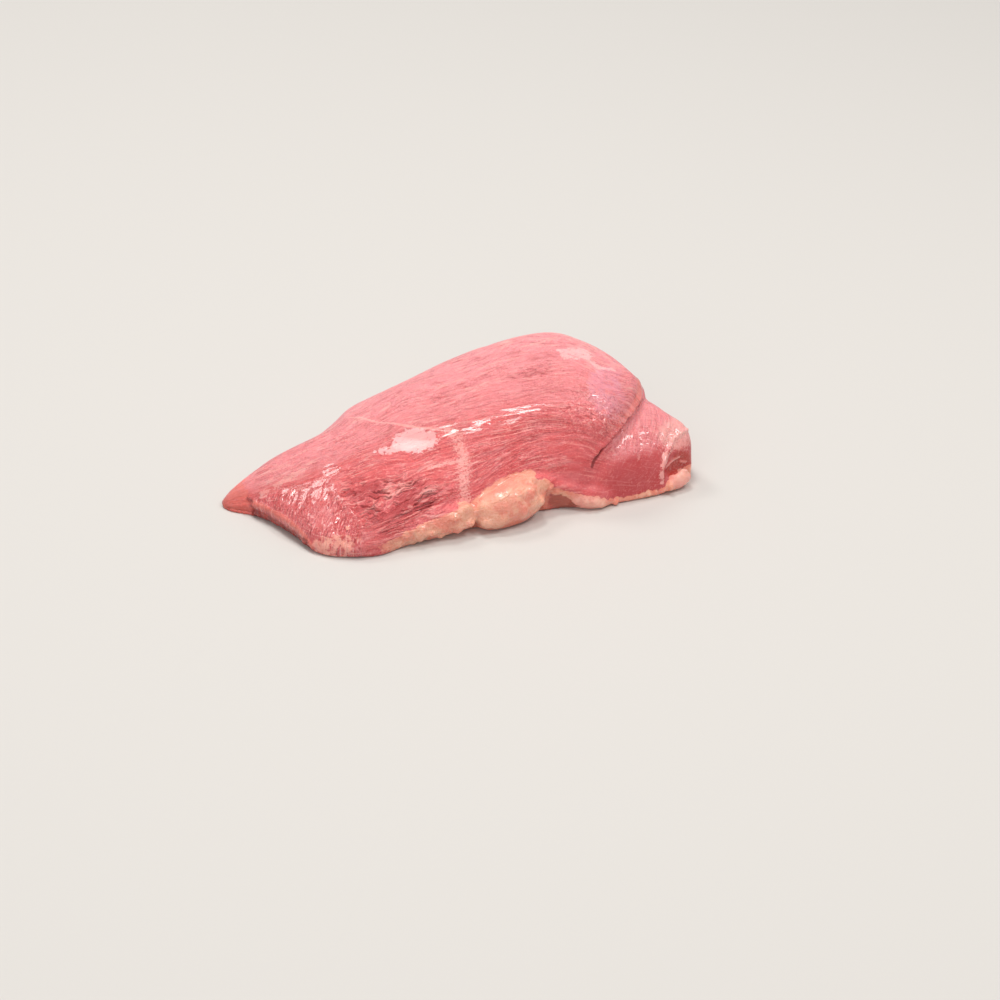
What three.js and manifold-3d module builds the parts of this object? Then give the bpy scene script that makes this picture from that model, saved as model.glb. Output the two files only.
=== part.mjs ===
// A raw pork eye round lying on its flat side: a kite-shaped muscle with a pointed tail on the left,
// a second muscle folded out from under its right end, and a lumpy strip of fat along its lower
// front edge. It is one solid. Units are millimetres: +X runs from the tail to the folded end, +Y
// away from the fat edge, +Z up from the surface that the meat lies on.
import * as THREE from "three";
import { mergeVertices } from "three/addons/utils/BufferGeometryUtils.js";
import Module from "manifold-3d";

const wasm = await Module();
wasm.setup();

// Each station is a section across x. The foot is where the front face reaches the surface, the lip
// [y, z] is the edge above it, the shoulder [y, z] is where the front slope turns over to the top,
// the crest [y, z] is the highest place, and the back is where the section ends behind.
const MUSCLE = [
  { x: -91.5, foot: -19, lip: [-19, 1], shoulder: [-18, 1.5], crest: [-17, 1.5], back: -16 },
  { x: -87, foot: -22, lip: [-22, 3], shoulder: [-18, 5], crest: [-13.5, 5.5], back: -10 },
  { x: -79, foot: -25, lip: [-24, 4.5], shoulder: [-17, 8.5], crest: [-8, 9.5], back: -3 },
  { x: -69, foot: -32, lip: [-33, 6], shoulder: [-19, 11.5], crest: [-1.5, 13.5], back: 5 },
  { x: -60, foot: -42, lip: [-44, 6], shoulder: [-22, 13.5], crest: [3, 16.5], back: 10 },
  { x: -54, foot: -50, lip: [-51.5, 5.5], shoulder: [-24, 15], crest: [6, 18.5], back: 14 },
  { x: -48, foot: -54, lip: [-54, 5.5], shoulder: [-21.5, 17], crest: [11, 20.5], back: 23 },
  { x: -42, foot: -55.5, lip: [-54.5, 6], shoulder: [-18.5, 18.8], crest: [17.5, 23], back: 32 },
  { x: -30, foot: -54, lip: [-53, 7.5], shoulder: [-14, 22], crest: [24.5, 26.5], back: 38 },
  { x: -17, foot: -45, lip: [-45, 9], shoulder: [-9, 25], crest: [30, 30.5], back: 44 },
  { x: -2, foot: -37, lip: [-38, 9.5], shoulder: [-6, 28], crest: [36, 35], back: 49.5 },
  { x: 12, foot: -29, lip: [-30.5, 10.5], shoulder: [-2, 31], crest: [40, 39], back: 54 },
  { x: 26, foot: -22, lip: [-24, 11], shoulder: [2, 33.5], crest: [41.5, 42.3], back: 55.5 },
  { x: 39, foot: -19, lip: [-20.5, 11], shoulder: [1.5, 35.5], crest: [41, 43.8], back: 55 },
  { x: 48, foot: -17, lip: [-19, 13], shoulder: [-4, 35.5], crest: [36.5, 44], back: 52.5 },
  { x: 56, foot: -11, lip: [-13.5, 16], shoulder: [-7, 34], crest: [31.5, 42.5], back: 47.5 },
  { x: 65, foot: -1, lip: [-3, 22], shoulder: [2, 34], crest: [23.5, 39.5], back: 40 },
  { x: 71, foot: 9, lip: [8, 24], shoulder: [11, 33], crest: [18, 36], back: 31 },
  { x: 75, foot: 17, lip: [17, 24], shoulder: [18, 26], crest: [20, 28], back: 23 },
];
const FOLDED_END = [
  { x: 42, foot: -8, lip: [-8, 5], shoulder: [-6, 9], crest: [0, 12], back: 6 },
  { x: 47, foot: -18, lip: [-18.5, 8], shoulder: [-15, 14], crest: [0, 18], back: 14 },
  { x: 57, foot: -17, lip: [-17.5, 9], shoulder: [-12.5, 17], crest: [4, 24], back: 22 },
  { x: 66, foot: -15, lip: [-15, 10], shoulder: [-9, 19], crest: [11, 27], back: 28 },
  { x: 74, foot: -12, lip: [-12, 10], shoulder: [-5, 19], crest: [14, 28], back: 29 },
  { x: 82, foot: -8.5, lip: [-8.5, 9], shoulder: [-2, 17], crest: [11, 24], back: 22 },
  { x: 89, foot: -5, lip: [-5.5, 8], shoulder: [0, 14], crest: [7, 20], back: 15 },
  { x: 92, foot: 1, lip: [1, 7], shoulder: [2, 9], crest: [4, 13], back: 7 },
];
const SOLE = -5; // how far a section reaches below the surface, before it is pressed flat
const BULGE = 0.45; // height of the hindmost line of the back, as a share of the crest's height
const HEEL = 3; // how far the back's foot is tucked in
const BELOW = [400, 300, 100]; // the block under the surface, which presses the meat flat

// The rolls of fat, each an egg that runs from one point to another.
const FAT_ROLLS = [
  { from: [-52, -53, 2], to: [-36, -56, 2.5], high: 3, thick: 2 },
  { from: [-37, -55.5, 3], to: [-21, -48.5, 3], high: 4, thick: 2.5 },
  { from: [-26, -48, 4.5], to: [-8, -41.5, 5.5], high: 5, thick: 4.5 },
  { from: [-12, -43, 5.5], to: [4, -37, 7.5], high: 6, thick: 5 },
  { from: [9, -36, 5.5], to: [30, -25.5, 8.5], high: 8.5, thick: 7 },
  { from: [17, -28, 12], to: [36, -21, 12], high: 4.5, thick: 3.5 },
  { from: [36, -21, 11], to: [49, -20, 7], high: 2.5, thick: 2.5 },
  { from: [45, -20.5, 4.5], to: [59, -18.5, 3], high: 5, thick: 3.5 },
  { from: [54, -18.5, 2], to: [82, -9, 2], high: 2.4, thick: 2 },
  { from: [80, -9, 2.5], to: [90, -4, 4.5], high: 3.5, thick: 3 },
];

// Hollows that are cut away: the undercut below the tail's lip, and the scooped end of the fold.
const UNDERCUT = { from: [-77, -27, 0], to: [-56, -52.5, 0], high: 4.5, thick: 3 };
const END_SCOOP = { from: [92.8, -14.8, -12], to: [96.5, -14.3, 30], high: 16, thick: 16 };

const SWELL = 0.4; // height of the gentle swells in the lean surface
const FAT_LUMP = 0.06; // unevenness of a roll of fat, as a share of its size
const HOLLOW_LUMP = 0.02; // unevenness of a hollow, as a share of its size

// How finely each form is divided: along its length, and around it.
const MUSCLE_STEPS = [78, 60];
const FOLD_STEPS = [28, 40];
const HOLLOW_STEPS = [20, 28];
const FAT_STEPS = [12, 16];

function solidOf(geometry) {
  const bare = geometry.clone().deleteAttribute("normal").deleteAttribute("uv");
  const merged = mergeVertices(bare, 1e-3);
  return new wasm.Manifold(
    new wasm.Mesh({
      numProp: 3,
      vertProperties: merged.attributes.position.array,
      triVerts: new Uint32Array(merged.index.array),
    }),
  );
}

function geometryOf(solid) {
  const mesh = solid.getMesh();
  const geometry = new THREE.BufferGeometry();
  geometry.setAttribute("position", new THREE.BufferAttribute(mesh.vertProperties, mesh.numProp));
  geometry.setIndex(new THREE.BufferAttribute(mesh.triVerts, 1));
  geometry.computeVertexNormals();
  return geometry;
}

// The smooth guide lines of a lobe, from its first station to its last.
function guideLines(stations) {
  const places = [
    (s) => [s.x, s.foot, SOLE],
    (s) => [s.x, ...s.lip],
    (s) => [s.x, ...s.shoulder],
    (s) => [s.x, ...s.crest],
    (s) => [s.x, s.back, BULGE * s.crest[1]],
    (s) => [s.x, s.back - HEEL, SOLE],
  ];
  return places.map((place) => {
    const points = stations.map((s) => new THREE.Vector3(...place(s)));
    return new THREE.CatmullRomCurve3(points, false, "centripetal");
  });
}

// Swells along and across the fibres, which run from the tail to the folded end.
function swell(p) {
  const along = Math.sin(p.x / 9 + p.y / 23) * Math.sin(p.y / 11 - p.z / 8 + 1);
  const across = Math.sin((p.y - 0.25 * p.x) / 3.1) * Math.sin(p.x / 17 + 2);
  return SWELL * (along + 0.5 * across);
}

// A closed lobe of muscle: a sphere whose rings are laid along its guide lines.
function lobe(stations, [rings, around]) {
  const lines = guideLines(stations);
  const geometry = new THREE.SphereGeometry(1, around, rings);
  const { position, uv } = geometry.attributes;
  for (let ring = 0; ring <= rings; ring++) {
    const corners = lines.map((line) => line.getPoint(ring / rings));
    const middle = corners.reduce((sum, corner) => sum.add(corner), new THREE.Vector3());
    middle.divideScalar(corners.length);
    const section = new THREE.CatmullRomCurve3(corners, true, "centripetal");
    for (let i = ring * (around + 1); i < (ring + 1) * (around + 1); i++) {
      const isEnd = ring === 0 || ring === rings;
      position.setXYZ(i, ...(isEnd ? middle : section.getPoint(uv.getX(i))));
    }
  }
  geometry.deleteAttribute("normal").deleteAttribute("uv");
  const closed = mergeVertices(geometry, 1e-3);
  closed.computeVertexNormals();
  const p = new THREE.Vector3();
  const n = new THREE.Vector3();
  for (let i = 0; i < closed.attributes.position.count; i++) {
    p.fromBufferAttribute(closed.attributes.position, i);
    n.fromBufferAttribute(closed.attributes.normal, i);
    p.addScaledVector(n, swell(p));
    closed.attributes.position.setXYZ(i, ...p);
  }
  return solidOf(closed);
}

// An egg between two points, high and thick across, with an uneven skin.
function egg({ from, to, high, thick }, [rings, around], lump) {
  const start = new THREE.Vector3(...from);
  const end = new THREE.Vector3(...to);
  const axis = end.clone().sub(start);
  const geometry = new THREE.SphereGeometry(1, around, rings);
  const { position } = geometry.attributes;
  for (let i = 0; i < position.count; i++) {
    const p = new THREE.Vector3().fromBufferAttribute(position, i);
    const wave = Math.sin(5 * p.y + 3 * p.x + start.x) * Math.sin(4 * p.z + 2 * p.x + start.y);
    p.multiplyScalar(1 + lump * wave);
    position.setXYZ(i, p.x, p.y, p.z);
  }
  const middle = start.clone().add(end).multiplyScalar(0.5);
  geometry.scale(thick, axis.length() / 2 + thick / 2, high);
  const turned = new THREE.Matrix4();
  const ahead = axis.clone().normalize();
  const level = new THREE.Vector3(0, 0, 1).cross(ahead).normalize();
  const up = ahead.clone().cross(level);
  turned.makeBasis(level.negate(), ahead, up).setPosition(middle);
  return solidOf(geometry.applyMatrix4(turned));
}

// The lobes, less the hollows, with the fat, all pressed flat underneath.
function meat() {
  let body = lobe(MUSCLE, MUSCLE_STEPS).add(lobe(FOLDED_END, FOLD_STEPS));
  for (const hollow of [UNDERCUT, END_SCOOP]) {
    body = body.subtract(egg(hollow, HOLLOW_STEPS, HOLLOW_LUMP));
  }
  for (const roll of FAT_ROLLS) {
    body = body.add(egg(roll, FAT_STEPS, FAT_LUMP));
  }
  const below = new THREE.BoxGeometry(...BELOW).translate(0, 0, -BELOW[2] / 2);
  return body.subtract(solidOf(below));
}

const rawPork = new THREE.MeshStandardMaterial({ color: 0xd8777a, roughness: 0.35, metalness: 0 });
const porkEyeRound = new THREE.Mesh(geometryOf(meat()), rawPork);
porkEyeRound.name = "pork_eye_round";

const part = new THREE.Group();
part.add(porkEyeRound);
export default part;
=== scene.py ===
# %% [markdown]
# # A raw pork eye round
# A small, lean muscle from the leg, laid on its flat side. Its pointed tail is on the left, its
# thick end is folded under on the right, and a lumpy strip of fat runs along the lower front
# edge. The frame holds its true form and size as one solid. This script takes that form, makes
# it fine enough to carry the grain of the meat, and gives it the look of moist, raw pork.

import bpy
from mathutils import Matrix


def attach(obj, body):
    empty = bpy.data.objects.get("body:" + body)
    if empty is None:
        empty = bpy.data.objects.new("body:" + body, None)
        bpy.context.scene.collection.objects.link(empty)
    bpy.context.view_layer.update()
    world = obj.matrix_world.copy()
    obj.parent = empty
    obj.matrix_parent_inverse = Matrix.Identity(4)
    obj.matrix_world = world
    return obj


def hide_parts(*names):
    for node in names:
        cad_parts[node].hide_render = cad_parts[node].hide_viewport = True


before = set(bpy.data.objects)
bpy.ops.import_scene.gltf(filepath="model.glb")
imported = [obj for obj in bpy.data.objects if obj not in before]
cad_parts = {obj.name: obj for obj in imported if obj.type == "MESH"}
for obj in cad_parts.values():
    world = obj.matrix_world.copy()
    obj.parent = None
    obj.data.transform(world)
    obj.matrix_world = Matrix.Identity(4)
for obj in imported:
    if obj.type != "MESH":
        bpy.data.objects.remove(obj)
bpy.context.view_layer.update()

import math

import bmesh
import bpy
import numpy as np
from mathutils import Vector
from mathutils.bvhtree import BVHTree

MM = 0.001
NODE = "pork_eye_round"

# %% [markdown]
# ## The camera
# The photograph looks down at about thirty degrees through a long lens, so the piece shows
# almost no perspective. A camera could be turned by hand until the view fits. Here its place,
# turn and lens are named numbers, so that every run gives the same view.

# %% Set the camera
CAMERA_AT = (-3.2, -1197.0, 687.6)  # mm
CAMERA_PITCH = 30.16  # degrees below level
CAMERA_TURN = 0.964  # degrees to the right
LENS = 127.6  # mm
SENSOR_WIDTH = 36  # mm
VIEW_END = 20  # metres

lens = bpy.data.cameras.new("camera")
lens.lens = LENS
lens.sensor_width = SENSOR_WIDTH
lens.clip_end = VIEW_END
camera = bpy.data.objects.new("camera", lens)
camera.location = [v * MM for v in CAMERA_AT]
camera.rotation_euler = (math.radians(90 - CAMERA_PITCH), 0, math.radians(-CAMERA_TURN))
bpy.context.scene.collection.objects.link(camera)
bpy.context.scene.camera = camera
print("camera at", tuple(camera.location))

# %% [markdown]
# ## The floor
# Without something to lie on, the meat would have no shadow and seem to float.

# %% Lay the floor
FLOOR_HALF = 4.0  # metres
FLOOR_LEVEL = -0.0001  # metres, just clear of the meat
FLOOR_CORNERS = ((-1, -1), (1, -1), (1, 1), (-1, 1))
FLOOR_COLOR = (0.65, 0.64, 0.62)
FLOOR_ROUGHNESS = 0.6


def plain_material(name, color, roughness):
    material = bpy.data.materials.new(name)
    material.use_nodes = True
    shader = material.node_tree.nodes["Principled BSDF"]
    shader.inputs["Base Color"].default_value = (*color, 1)
    shader.inputs["Roughness"].default_value = roughness
    return material


floor_mesh = bpy.data.meshes.new("floor")
corners = [(u * FLOOR_HALF, v * FLOOR_HALF, FLOOR_LEVEL) for u, v in FLOOR_CORNERS]
floor_mesh.from_pydata(corners, [], [(0, 1, 2, 3)])
floor_mesh.materials.append(plain_material("pale_floor", FLOOR_COLOR, FLOOR_ROUGHNESS))
floor = bpy.data.objects.new("floor", floor_mesh)
bpy.context.scene.collection.objects.link(floor)
print("floor laid,", 2 * FLOOR_HALF, "m wide")

# %% [markdown]
# ## Light
# Wet meat is seen largely by what it mirrors. A picture of a bright room could be wrapped round
# the scene, but a few round lamps say plainly where each shine comes from. The brightest hangs
# high and a little behind, because the wet shine sits where the front slope turns over to the
# top. One at the right lights the folded end, and a wide one fills the shadows in front.

# %% Hang the lights
LIGHTS = {  # place and width in metres, and power in watts
    "above": ((-0.13, 0.39, 1.44), 0.36, 7.5),
    "left_behind": ((-0.6, 0.84, 1.22), 0.46, 5.5),
    "overhead": ((0.08, -0.24, 1.42), 0.34, 3.6),
    "right_side": ((0.76, -0.2, 1.2), 0.38, 5.5),
    "front_fill": ((-0.5, -1.3, 0.75), 1.2, 4.6),
}
WARM_WHITE = (1, 0.96, 0.92)
ROOM_WHITE = (1, 0.985, 0.97, 1)
ROOM_STRENGTH = 0.35


def soft_light(name, at, size, power):
    """A round light of that size, turned to the middle of the scene."""
    lamp = bpy.data.lights.new(name, "AREA")
    lamp.shape = "DISK"
    lamp.size = size
    lamp.energy = power
    lamp.color = WARM_WHITE
    light = bpy.data.objects.new(name, lamp)
    light.location = at
    light.rotation_euler = (-Vector(at)).to_track_quat("-Z", "Y").to_euler()
    bpy.context.scene.collection.objects.link(light)


for name, (at, size, power) in LIGHTS.items():
    soft_light(name, at, size, power)

world = bpy.data.worlds.new("studio")
world.use_nodes = True
background = world.node_tree.nodes["Background"]
background.inputs["Color"].default_value = ROOM_WHITE
background.inputs["Strength"].default_value = ROOM_STRENGTH
bpy.context.scene.world = world
bpy.context.scene.view_settings.view_transform = "Standard"
print("lights hung:", ", ".join(LIGHTS))


# %% [markdown]
# ## A small kit for node trees
# Lumps, relief and colours are all node trees, and mostly sums, ramps and noise. Such trees can
# be linked by hand in the editor, but long ones are easier to read as sums. This little class
# places the nodes and links them, for Geometry Nodes and for shaders alike.

# %% Node tree helper
class Graph:
    """Adds nodes to a tree. An input is filled by a value or by another node's output."""

    def __init__(self, tree):
        self.tree = tree

    def node(self, kind, inputs=None, **settings):
        node = self.tree.nodes.new(kind)
        for key, value in settings.items():
            setattr(node, key, value)
        for key, value in (inputs or {}).items():
            self.fill(node.inputs[key], value)
        return node

    def fill(self, socket, value):
        if isinstance(value, bpy.types.NodeSocket):
            self.tree.links.new(value, socket)
        else:
            socket.default_value = value

    def math(self, operation, a, b=0.0):
        return self.node("ShaderNodeMath", {0: a, 1: b}, operation=operation).outputs[0]

    def vector_math(self, operation, a, b):
        return self.node("ShaderNodeVectorMath", {0: a, 1: b}, operation=operation).outputs[0]

    def product(self, first, *others):
        for other in others:
            first = self.math("MULTIPLY", first, other)
        return first

    def total(self, first, *others):
        for other in others:
            first = self.math("ADD", first, other)
        return first

    def swing(self, noise, amount=1.0):
        """A noise between nought and one, as a height that swings round nought."""
        return self.product(self.math("SUBTRACT", noise, 0.5), 2.0, amount)

    def rest(self, mask):
        """What a mask leaves over."""
        return self.math("SUBTRACT", 1.0, mask)

    def blend(self, amount, a, b):
        return self.node("ShaderNodeMix", {0: amount, 2: a, 3: b}, data_type="FLOAT").outputs[0]

    def ramp(self, value, low, high, start=0.0, end=1.0):
        inputs = {"Value": value, "From Min": low, "From Max": high, "To Min": start, "To Max": end}
        node = self.node("ShaderNodeMapRange", inputs, interpolation_type="SMOOTHSTEP")
        return node.outputs["Result"]

    def stretch(self, vector, scale, offset=(0, 0, 0)):
        inputs = {0: vector, 1: scale, 2: offset}
        return self.node("ShaderNodeVectorMath", inputs, operation="MULTIPLY_ADD").outputs[0]

    def noise(self, vector, scale, detail=2.0, roughness=0.5, distortion=0.0):
        inputs = {"Vector": vector, "Scale": scale, "Detail": detail, "Roughness": roughness}
        inputs["Distortion"] = distortion
        return self.node("ShaderNodeTexNoise", inputs).outputs[0]

    def wavy(self, vector, scale, amount):
        """The same place, pushed to and fro across the grain, so that straight lines waver."""
        sway = self.swing(self.noise(vector, scale, 1.0), amount)
        push = self.node("ShaderNodeCombineXYZ", {"Y": sway})
        return self.vector_math("ADD", vector, push.outputs[0])


print("node tree helper ready")


# %% [markdown]
# ## Groups, modifiers and plain meshes
# A tree with named sockets can be used again with other values. One helper makes such a tree,
# one puts it on an object as a modifier, and one turns the result into a plain mesh, which is
# what the export wants. A modifier knows an input by its identifier and not by its name, so the
# helper looks it up.

# %% Group and modifier helpers
def new_tree(name, kind, inputs, outputs):
    """A node group with named sockets, and what it takes and gives."""
    tree = bpy.data.node_groups.new(name, kind)
    for label, kind_of_value, value in inputs:
        socket_type = "NodeSocket" + kind_of_value
        socket = tree.interface.new_socket(label, in_out="INPUT", socket_type=socket_type)
        if value is not None:
            socket.default_value = value
    for label, kind_of_value in outputs:
        socket_type = "NodeSocket" + kind_of_value
        tree.interface.new_socket(label, in_out="OUTPUT", socket_type=socket_type)
    g = Graph(tree)
    return tree, g, g.node("NodeGroupInput").outputs, g.node("NodeGroupOutput").inputs


def add_nodes_modifier(thing, tree, values):
    """Runs a geometry tree on an object, with its inputs set by their names."""
    modifier = thing.modifiers.new(tree.name, "NODES")
    modifier.node_group = tree
    for item in tree.interface.items_tree:
        if item.in_out == "INPUT" and item.name in values:
            modifier[item.identifier] = values[item.name]


def applied(thing):
    """The object's mesh with all its modifiers worked in, and the modifiers taken off."""
    evaluated = thing.evaluated_get(bpy.context.evaluated_depsgraph_get())
    mesh = bpy.data.meshes.new_from_object(evaluated)
    thing.modifiers.clear()
    thing.data = mesh
    return mesh


print("group and modifier helpers ready")

# %% [markdown]
# ## Strings of fat
# The fat that a butcher leaves along the edge isn't one smooth bead. It lies in soft lumps as
# large as a pea, which hang together in strings. The lumps could be sculpted one by one, but a
# few lines with a girth say the same and are easy to shift. They follow the strip of fat, from
# the tail to the cut end.

# %% Name the strings
FAT_STRINGS = [  # girth in mm, and the line's points in mm
    (2.5, [(-21, -47.5, 3.4), (-15, -46.6, 4.6), (-8, -44, 6), (-1.5, -41.8, 8), (4, -38, 9)]),
    (2.2, [(-17, -46, 2), (-9, -43.6, 2.2), (0, -41.3, 4.5), (4.5, -39, 5.5)]),
    (2.5, [(10.5, -36.2, 8.6), (17, -34.6, 10.8), (25, -31, 11.8), (31, -26, 12.2)]),
    (2.9, [(11, -37, 5.6), (18, -36.6, 7), (25, -33, 8), (31, -28.2, 9)]),
    (1.5, [(28.5, -25.8, 14.4), (33.5, -24.4, 12.4), (38.5, -22.2, 8.8)]),
    (1.2, [(39, -22, 8.2), (44, -21.2, 6.8)]),
    (2.2, [(46.5, -21.2, 4.6), (52, -21.4, 2.8), (56, -20.6, 2.6)]),
    (1.4, [(56, -20, 3), (61, -18, 1.6)]),
    (1.4, [(-52, -51.4, 2.6), (-46, -52.2, 4.4)]),
    (1.3, [(-31, -53, 3.2), (-26, -51.4, 2.6), (-22, -49.8, 2.6)]),
    (1.3, [(-41, -49.6, 7.6), (-34, -50, 7.9), (-27, -48.4, 8)]),
    (1.8, [(82.6, -9, 2.8), (85.2, -7.8, 4.2), (87.4, -6, 4.8), (89, -4.2, 4.4)]),
    (1.3, [(84.6, -8, 6), (86.6, -6.6, 7.2), (88.4, -5, 6.8)]),
    (0.9, [(61, -17.3, 0.9), (72, -13.7, 1.2), (82, -10.2, 2)]),
]
FAT_INPUTS = {"Spacing": 2.6 * MM, "Unevenness": 0.34, "Jitter": 0.4, "Seed": 8}
print("strings of fat:", len(FAT_STRINGS))


# %% [markdown]
# ## A lump at every step
# Things that follow a path are work for Geometry Nodes. The tree walks each line in even steps,
# shifts every step a little, and sets an uneven ball there, as wide as the line's girth. Its
# seed is fixed, so the lumps fall the same way each time.

# %% Build the tree of lumps
BALL_DIVISIONS = 3


def fat_string_tree():
    tree, g, given, result = new_tree(
        "fat_strings",
        "GeometryNodeTree",
        [("Lines", "Geometry", None), ("Spacing", "Float", 0.002), ("Unevenness", "Float", 0.3),
         ("Jitter", "Float", 0.4), ("Seed", "Int", 0), ("Material", "Material", None)],
        [("Lumps", "Geometry")],
    )

    def random_vector(reach, middle, seed_step):
        low = g.math("SUBTRACT", middle, reach)
        high = g.math("ADD", middle, reach)
        seed = g.math("ADD", given["Seed"], seed_step)
        inputs = {0: g.node("ShaderNodeCombineXYZ", {0: low, 1: low, 2: low}).outputs[0]}
        inputs[1] = g.node("ShaderNodeCombineXYZ", {0: high, 1: high, 2: high}).outputs[0]
        inputs["Seed"] = seed
        return g.node("FunctionNodeRandomValue", inputs, data_type="FLOAT_VECTOR").outputs[0]

    line = g.node("GeometryNodeMeshToCurve", {0: given["Lines"]}).outputs[0]
    steps = g.node("GeometryNodeResampleCurve", {"Curve": line}, mode="LENGTH")
    g.fill(steps.inputs["Length"], given["Spacing"])
    girth = g.node("GeometryNodeInputNamedAttribute", {"Name": "girth"}, data_type="FLOAT").outputs[0]
    strewn = g.node("GeometryNodeSetPosition", {"Geometry": steps.outputs[0]})
    g.fill(strewn.inputs["Offset"], g.stretch(random_vector(given["Jitter"], 0.0, 1), girth))
    size = g.stretch(random_vector(given["Unevenness"], 1.0, 2), girth)
    ball_shape = {"Radius": 1.0, "Subdivisions": BALL_DIVISIONS}
    ball = g.node("GeometryNodeMeshIcoSphere", ball_shape).outputs[0]
    lumps = g.node("GeometryNodeInstanceOnPoints", {"Points": strewn.outputs[0], "Instance": ball})
    g.fill(lumps.inputs["Scale"], size)
    whole = g.node("GeometryNodeRealizeInstances", {"Geometry": lumps.outputs[0]}).outputs[0]
    faced = g.node("GeometryNodeSetMaterial", {"Geometry": whole, "Material": given["Material"]})
    g.fill(result["Lumps"], faced.outputs[0])
    return tree


string_tree = fat_string_tree()
print("tree of lumps with", len(string_tree.nodes), "nodes")

# %% [markdown]
# ## Lumps along the lines
# All strings go into one mesh of bare edges, with the girth kept at each point as a named
# attribute. An object for each string would do as well, but one mesh needs the tree only once.
# The lumps get no skin of their own: they are melted into the body below, as fat is part of
# the meat.

# %% String the lumps along the lines
points = []
edges = []
girths = []
for girth, line in FAT_STRINGS:
    edges += [(len(points) + i, len(points) + i + 1) for i in range(len(line) - 1)]
    points += [tuple(v * MM for v in point) for point in line]
    girths += [girth * MM] * len(line)
lines_mesh = bpy.data.meshes.new("fat_lines")
lines_mesh.from_pydata(points, edges, [])
lines_mesh.attributes.new("girth", "FLOAT", "POINT").data.foreach_set("value", girths)
fat_lumps = bpy.data.objects.new("fat_lumps", lines_mesh)
bpy.context.scene.collection.objects.link(fat_lumps)
add_nodes_modifier(fat_lumps, string_tree, FAT_INPUTS)
applied(fat_lumps)
print("the lumps have", len(fat_lumps.data.polygons), "faces")

# %% [markdown]
# ## The body
# The solid in the frame is made of flat facets two or three millimetres wide. A copy of it is
# voxel remeshed, which gives an even skin of small quads, and smoothed until the facets are
# gone. The lumps of fat are then added and the whole is remeshed once more, more finely, so that
# lean and fat share one skin. Each lump stays a separate bulge, with a soft valley round it.

# %% Melt the solid and the fat into one skin
FIRST_VOXEL = 0.8 * MM
FIRST_ROUNDS = 10  # of smoothing
FINE_VOXEL = 0.64 * MM
FINE_ROUNDS = 3
SMOOTHING = 0.5  # how far each round moves a point to the middle of its neighbours
SAME_POINT = 0.01 * MM


def reskin(thing, voxel, rounds):
    remesh = thing.modifiers.new("even_skin", "REMESH")
    remesh.mode = "VOXEL"
    remesh.voxel_size = voxel
    smooth = thing.modifiers.new("no_facets", "SMOOTH")
    smooth.factor = SMOOTHING
    smooth.iterations = rounds
    applied(thing)
    print("skin of", len(thing.data.vertices), "points and", len(thing.data.polygons), "faces")


def reshape(mesh, work):
    """Opens a mesh as a bmesh, lets work change it, and closes it again."""
    shape = bmesh.new()
    shape.from_mesh(mesh)
    work(shape)
    shape.to_mesh(mesh)
    shape.free()


def weld(shape):
    bmesh.ops.remove_doubles(shape, verts=shape.verts, dist=SAME_POINT)


meat = bpy.data.objects.new("raw_meat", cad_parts[NODE].data.copy())
meat.data.materials.clear()
bpy.context.scene.collection.objects.link(meat)
reshape(meat.data, weld)
reskin(meat, FIRST_VOXEL, FIRST_ROUNDS)
reshape(meat.data, lambda shape: shape.from_mesh(fat_lumps.data))
reskin(meat, FINE_VOXEL, FINE_ROUNDS)

# %% [markdown]
# ## Landmarks
# A few lines say where things are on the piece, in millimetres: the crease where the thick end
# is folded under, the pale seam between two muscles, the edge of the fat. A picture laid over
# the piece could say it too, but lines are short, and they hold for shape and colour alike.

# %% Name the landmarks
CREASE = [(74, 18, 31.5), (71.5, 11, 30), (68.5, 4.7, 28.3), (65.5, -1.3, 26), (60.2, -8.7, 24),
          (57.4, -11.6, 22.5), (55, -13.7, 21), (51.9, -16.8, 16.3)]
RIM = [(71, 20, 36), (71.8, 14, 33.5), (70, 9, 31), (66.5, 1.5, 29), (62, -5, 28), (57, -10, 26.5)]
SEAM_EDGE = [(-50, 13, 20), (-43, 11, 23), (-36, 6.5, 25), (-29, 1.6, 25.8), (-21, -2.7, 26.4),
             (-14, -5, 26.7), (-6, -6.6, 27)]
SEAM_BAND = [(-3, -7, 27), (0.5, -11, 26.4), (2.1, -19, 23), (2.8, -24, 19.4), (2.8, -30, 16),
             (3.1, -34, 12), (2.3, -41, 11)]
SEAM_TWIG = [(-10, -24, 20), (-4.4, -22, 21.1), (-0.6, -21.4, 21.3), (4, -20.6, 21.4)]
LIP = [(-78, -24, 5.4), (-74, -28, 6), (-71, -31.5, 6), (-65, -37.5, 6.2), (-60.5, -44, 5.6),
       (-57.8, -48, 4.3), (-54.7, -51.5, 2.5)]
LEFT_FOLD = [(-45, -30, 15.8), (-42.3, -35.8, 14.6), (-39.6, -40.2, 13.7), (-37.3, -44.8, 12.4),
             (-34.2, -49, 10.9)]
END_RIDGE = [(90, 6, 19.5), (86.8, 3, 19.2), (84, 0.5, 17.9), (81.8, -3.9, 15), (80.6, -6.6, 13),
             (79.3, -9.1, 10), (79.4, -9.3, 5.7), (80.2, -10.8, 2.1)]
END_FOLDS = [[(80.7, -6.6, 10), (82.5, -4.6, 10.9), (84.5, -2.8, 11.4), (86.2, -1.4, 11.4)],
             [(86.9, -0.9, 9.2), (88.9, 0.3, 8.3)]]
CREAM_STREAK = [(-69, -21, 11), (-64, -18.5, 13.4), (-58.5, -16, 15.5)]
SINEW = [(40, 25, 44.8), (46, 22.4, 44.8), (50, 20.7, 44.3), (53, 17, 43.4), (56, 14, 42.5),
         (61, 15.3, 41.3)]

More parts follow.
